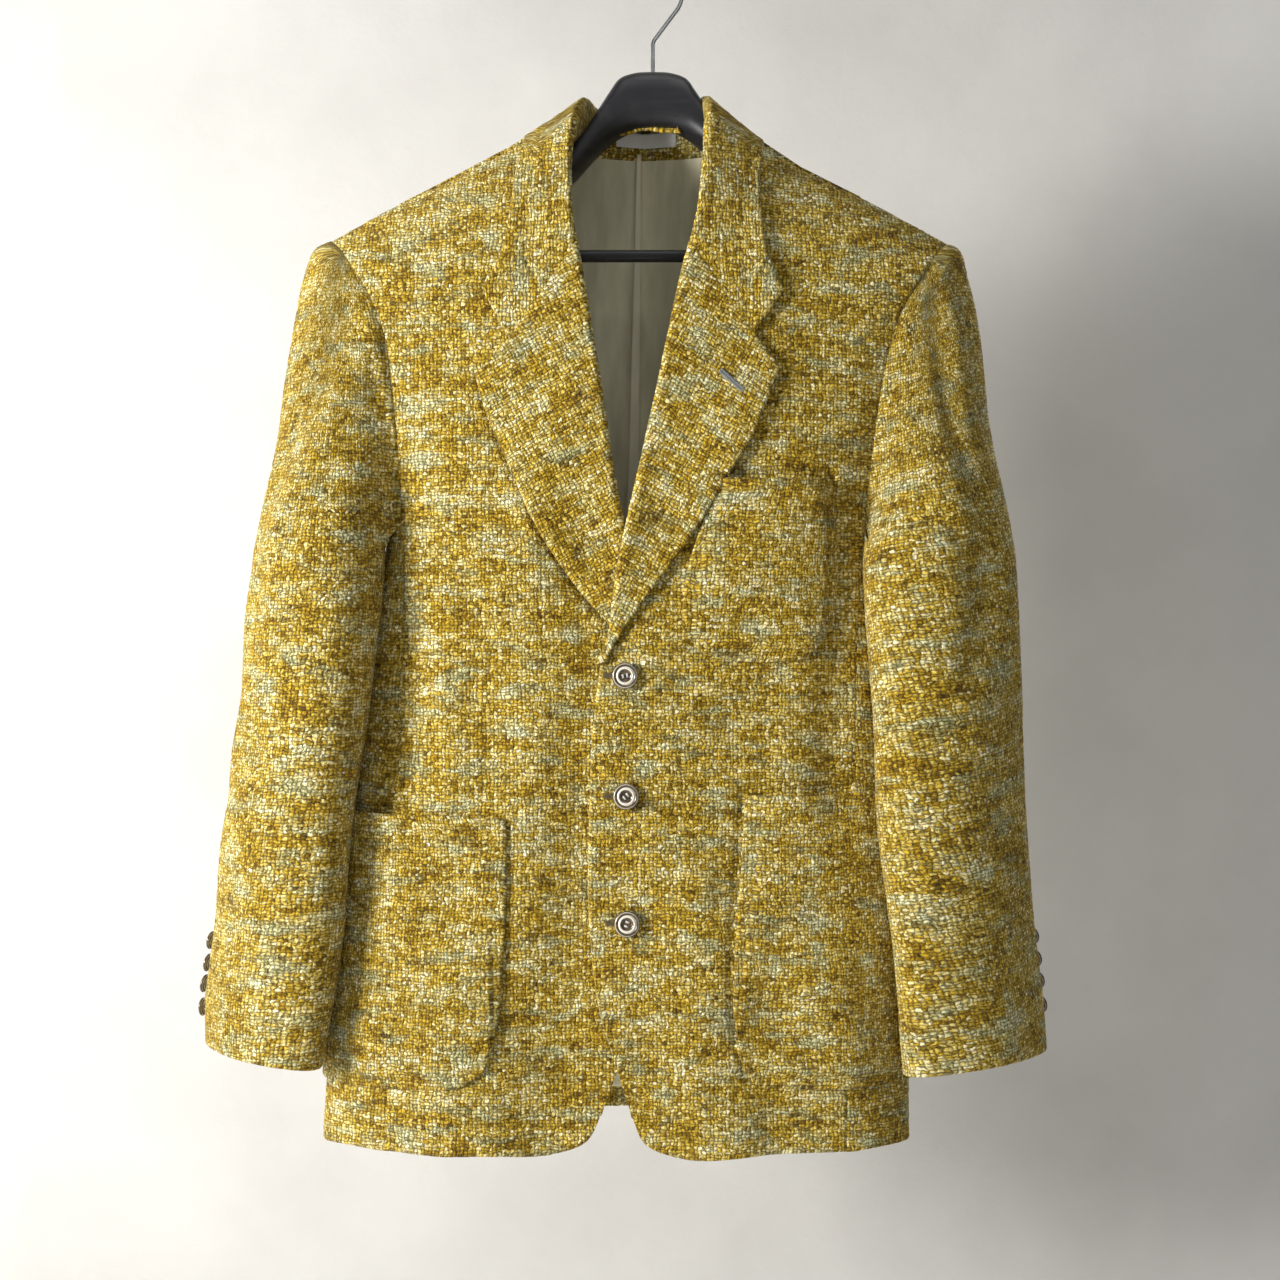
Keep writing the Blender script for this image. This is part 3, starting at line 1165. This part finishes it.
# shares of a button's radius and thickness; the hole's place and the strands' path are shares too
BUTTON = [
    (0.05, 0.10), (0.55, 0.0), (0.80, 0.06), (0.94, 0.26), (1.0, 0.52), (0.985, 0.74), (0.93, 0.92), (0.86,
                                                                                                      1.0),
    (0.78, 0.99), (0.72, 0.88), (0.68, 0.84), (0.64, 0.88), (0.60, 0.97), (0.55, 0.98), (0.51, 0.90), (0.46,
                                                                                                       0.72),
    (0.36, 0.62), (0.02, 0.60),
]
DRILL = [(0.105, -1.0), (0.105, 2.2)]
SHANK = [(0.10, -0.75), (0.22, -0.5), (0.18, -0.2), (0.22, 0.12)]
HOLE = 0.165
STRAND = [(-HOLE, -0.5), (-0.160, 0.45), (-0.105, 0.76), (0.0, 0.82), (0.105, 0.76), (0.160, 0.45),
          (HOLE, -0.5)]


def buttons(name, spots, radius, thick, body, nodes, thread_name, thread_nodes):
    """Four-hole buttons and their thread, at spots that give a place, the way it faces and its turn."""
    size = np.array([radius, radius, thick])
    shape, faces, uv = lathe([(a * radius, b * thick) for a, b in BUTTON])
    uv = np.stack([uv[:, 0] / radius * 1000, uv[:, 1]], -1)
    drill, drill_faces, _ = lathe([(a * radius, b * thick) for a, b in DRILL], 20)
    shank, shank_faces, _ = lathe([(a * radius, b * thick) for a, b in SHANK], 20)
    discs, holes, sewing = Parts(), Parts(), Parts()
    for place, face, roll in spots:
        turn, at = frame_at(place, face)
        turn = turn @ spin(roll)
        discs.add(shape, faces, turn, at)
        for dx, dy in ((1, 1), (1, -1), (-1, 1), (-1, -1)):
            holes.add(drill + np.array([dx, dy, 0]) * HOLE * radius, drill_faces, turn, at)
        for dx in (-1, 1):
            for strand in (-0.035, 0.035):
                path = np.array([(dx * HOLE + strand, y, z) for y, z in STRAND]) * size
                sewing.add(*sweep(curve(path, np.linspace(0, 1, 22)), 0.042 * radius), turn, at)
        sewing.add(shank, shank_faces, turn, at)
    obj = discs.mesh(name, HORN, np.concatenate([uv] * len(spots)))
    cutter = holes.mesh(name + "_drill", HORN)
    cut = obj.modifiers.new("holes", "BOOLEAN")
    cut.object, cut.operation, cut.solver = cutter, "DIFFERENCE", "EXACT"
    bpy.context.view_layer.update()
    mesh = bpy.data.meshes.new_from_object(obj.evaluated_get(bpy.context.evaluated_depsgraph_get()))
    obj.modifiers.clear()
    obj.data = mesh
    bpy.data.objects.remove(cutter)
    finished(obj, body, "horn", *nodes)
    finished(sewing.mesh(thread_name, THREAD), body, "thread", *thread_nodes)


def worked_hole(name, place, face, turn, long, material, slot, *nodes):
    """Buttonhole: close stitches on both sides of a slit."""
    rot, at = frame_at(place, face)
    stitches = Parts()
    for x in np.linspace(-long / 2, long / 2, int(long / 0.85)):
        for sign in (-1, 1):
            arch = [(0.1, -0.2), (0.5, 0.75), (1.3, 0.75), (1.9, -0.3)]
            path = np.array([(x, y * sign, z) for y, z in arch])
            path = curve(path @ spin(math.radians(turn)).T, np.linspace(0, 1, 8))
            stitches.add(*sweep(path, 0.42, 6), rot, at)
    finished(stitches.mesh(name, material), "jacket", slot, *nodes)


# ---- Shoulder pads ----------------------------------------------------------------------------
def shoulder_pad(side, name, node):
    """Wadding pad under the shoulder, swollen a little by a cloth simulation."""
    share = np.linspace(0, 1, 26)[:, None]
    g = np.linspace(-1, 1, 31)[None]
    p = ridge_point(128 + 94 * share + 0 * g, g * np.interp(share, [0, 0.5, 1], [14, 34, 40]), side)
    n = grid_normals(p)
    n = n * np.sign(n[13, 15, 2])
    deep = 1.6 + 5.0 * smooth(np.minimum(share, 1 - np.abs(g)), 0, 0.6)
    top = p - n * 4.8
    low = p - n * (4.8 + deep[..., None])
    rows, columns = p.shape[:2]
    count = rows * columns
    quads, ring = grid_quads(rows, columns), border(rows, columns)
    after = np.roll(ring, -1)
    rim = np.stack([ring, after, after + count, ring + count], 1)
    faces = np.concatenate([quads, quads[:, ::-1] + count, rim])
    obj = make_mesh(name, np.concatenate([top.reshape(-1, 3), low.reshape(-1, 3)]), faces, None, CANVAS)
    swell(obj, 0.0015)
    finished(obj, "jacket", "canvas", node)


PUFF_FRAMES = 12


def swell(obj, cap):
    """Cloth simulation with a little pressure; no point moves further than the cap, in metres."""
    remesh = obj.modifiers.new("remesh", "REMESH")
    remesh.mode, remesh.voxel_size = "VOXEL", 0.003
    bpy.context.view_layer.update()
    obj.data = bpy.data.meshes.new_from_object(obj.evaluated_get(bpy.context.evaluated_depsgraph_get()))
    obj.modifiers.clear()
    start = np.array([v.co for v in obj.data.vertices])
    puff = obj.modifiers.new("puff", "CLOTH")
    puff.settings.use_pressure = True
    puff.settings.uniform_pressure_force = 2.0
    puff.settings.quality = 4
    puff.settings.effector_weights.gravity = 0
    puff.point_cache.frame_start, puff.point_cache.frame_end = 1, PUFF_FRAMES
    for frame_number in range(1, PUFF_FRAMES + 1):
        bpy.context.scene.frame_set(frame_number)
    done = obj.evaluated_get(bpy.context.evaluated_depsgraph_get())
    moved = np.array([v.co for v in done.data.vertices]) - start
    far = np.linalg.norm(moved, axis=1, keepdims=True)
    moved = moved * np.minimum(1, cap / np.maximum(far, 1e-9))
    obj.modifiers.clear()
    obj.data.vertices.foreach_set("co", (start + moved).astype(np.float32).ravel())
    obj.data.polygons.foreach_set("use_smooth", [True] * len(obj.data.polygons))
    obj.data.materials.clear()
    obj.data.materials.append(CANVAS)
    bpy.context.scene.frame_set(1)


# ---- Build everything ---------------------------------------------------------------------------
def both(make, name, *nodes, order=(LEFT, RIGHT)):
    """Make a piece on each side, with the side's word in its names."""
    for side in order:
        make(side, name.format(SIDE_WORD[side]), *[node.format(SIDE_WORD[side]) for node in nodes])


both(front_panel, "front_{}_cloth", "front_{}", "facing_{}", "chest_canvas_{}", order=(RIGHT, LEFT))
both(side_panel, "side_{}_cloth", "side_{}")
both(back_panel, "back_{}_cloth", "back_{}")
both(lapel, "lapel_{}_cloth", "lapel_{}")
collar()
chest_pocket()
both(lower_pocket, "lower_pocket_{}_patch", "lower_pocket_{}")
both(sleeve, "sleeve_{}_cloth", "top_sleeve_{}", "under_sleeve_{}")
both(sleeve_lining, "sleeve_{}_lining", "sleeve_lining_{}")
back_lining()
lining_pleat()
both(front_lining, "front_{}_lining", "lining_front_{}")
neck_facing()
neck_tab()
hanger()
both(shoulder_pad, "pad_{}", "shoulder_pad_{}")

FRONT_BUTTONS = [(-21.1, -552.5), (-20.4, -642), (-19.6, -737)]
spots = []
for number, (x, z) in enumerate(FRONT_BUTTONS):
    at = coat(np.array(x - middle(z)), np.array(float(z)), LEFT)
    spots.append(((x, at[1] - 2.2, z), (0.02, -1, 0.03), 0.25 + 0.5 * number))
buttons("front_button_set", spots, 9.8, 4.2, "jacket", ["front_buttons"], "front_button_thread",
        ["front_button_threads"])
for number, (x, z) in enumerate(FRONT_BUTTONS):
    at = coat(np.array(x - 6 - middle(z)), np.array(float(z)), LEFT)
    at = (x - 6, at[1] - 0.1, z)
    worked_hole(f"front_buttonhole_{number}", at, (0, -1, 0), 0, 20, OLIVE_THREAD, "thread")

for side, name in SIDE_WORD.items():
    p = sleeve_grid(side)
    n = grid_normals(p, True) * side
    column = int(round((0.985 if side == LEFT else 0.02) * (p.shape[1] - 1)))
    spots = []
    for z in (-756.5, -774, -791.5, -809):
        row = int(np.argmin(np.abs(p[:, column, 2] - z)))
        spots.append((p[row, column] + n[row, column] * 1.6, n[row, column], 0.4))
    buttons(f"cuff_button_set_{name}", spots, 7.0, 3.0, SLEEVE_BODY[side], [f"cuff_buttons_{name}"],
            f"cuff_button_thread_{name}", [f"cuff_button_threads_{name}"])

LAPEL_HOLE_Z = -334.6
at = coat(np.array(70.0), np.array(LAPEL_HOLE_Z), LEFT)
at = (at[0], at[1] - 5.3, LAPEL_HOLE_Z)
worked_hole("lapel_buttonhole_stitches", at, (0.05, -1, 0.0), -42, 22, GREY_THREAD, "grey_thread",
            "lapel_buttonhole")

for node, material in (("hook", WIRE), ("hook_stop", WIRE), ("hook_bush", BRASS), ("trouser_bar", BLACK)):
    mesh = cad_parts[node].data
    mesh.materials.clear()
    mesh.materials.append(material)
    for face in mesh.polygons:
        face.material_index = 0


# ---- Studio ---------------------------------------------------------------------------------
FLOOR_Z, WALL_Y = -1.35, 0.42


def plane(name, corners, material):
    mesh = bpy.data.meshes.new(name)
    mesh.from_pydata(corners, [], [[0, 1, 2, 3]])
    mesh.materials.append(material)
    obj = bpy.data.objects.new(name, mesh)
    bpy.context.scene.collection.objects.link(obj)
    return obj


def clear_from_behind(n):
    """Let a surface be seen through from its back."""
    back_face = n.new("ShaderNodeNewGeometry").outputs["Backfacing"]
    choose = n.new("ShaderNodeMixShader", {
        0: back_face, 1: n.shader.outputs[0], 2: n.new("ShaderNodeBsdfTransparent").outputs[0],
    })
    n.tree.links.new(choose.outputs[0], n.tree.nodes["Material Output"].inputs[0])


plaster_wall = plaster("wall_plaster", (0.60, 0.59, 0.565), (0.50, 0.49, 0.47), 2.2)
clear_from_behind(plaster_wall)
wall = plane("wall", [(x, WALL_Y, z) for x, z in ((-4, FLOOR_Z), (4, FLOOR_Z), (4, 2.2), (-4, 2.2))],
             plaster_wall.material)
wall.visible_shadow = False
plane("floor", [(x, y, FLOOR_Z) for x, y in ((-4, -4), (4, -4), (4, 4), (-4, 4))],
      plaster("floor_pale", (0.74, 0.73, 0.71), (0.68, 0.67, 0.65), 3.0).material)


def area(name, place, target, size, power, colour=(1, 1, 1)):
    light = bpy.data.lights.new(name, "AREA")
    light.energy, light.size, light.color = power, size, colour
    obj = bpy.data.objects.new(name, light)
    bpy.context.scene.collection.objects.link(obj)
    obj.location = place
    obj.rotation_euler = (Vector(target) - Vector(place)).to_track_quat("-Z", "Y").to_euler()


area("key", (-1.55, -0.95, -0.32), (0.0, 0, -0.50), 0.45, 60, (1.0, 0.985, 0.96))
area("fill", (0.6, -2.8, 0.1), (0, 0, -0.5), 2.4, 9, (0.95, 0.97, 1.0))
area("wall_wash", (0.3, -0.9, 1.7), (0.2, WALL_Y, -0.3), 1.6, 15)
area("behind", (1.2, 2.2, 0.6), (0, 0, -0.5), 1.4, 46)
world = bpy.data.worlds.new("studio")
world.use_nodes = True
world.node_tree.nodes["Background"].inputs[0].default_value = (0.86, 0.88, 0.90, 1)
world.node_tree.nodes["Background"].inputs[1].default_value = 0.11
bpy.context.scene.world = world

lens = bpy.data.cameras.new("camera")
lens.lens, lens.sensor_width = 41.8, 36.0
lens.clip_start = 0.05
camera = bpy.data.objects.new("camera", lens)
camera.location = (-0.010, -1.160, -0.526)
camera.rotation_euler = (math.radians(90), 0, 0)
bpy.context.scene.collection.objects.link(camera)
bpy.context.scene.camera = camera
bpy.context.scene.view_settings.view_transform = "Standard"
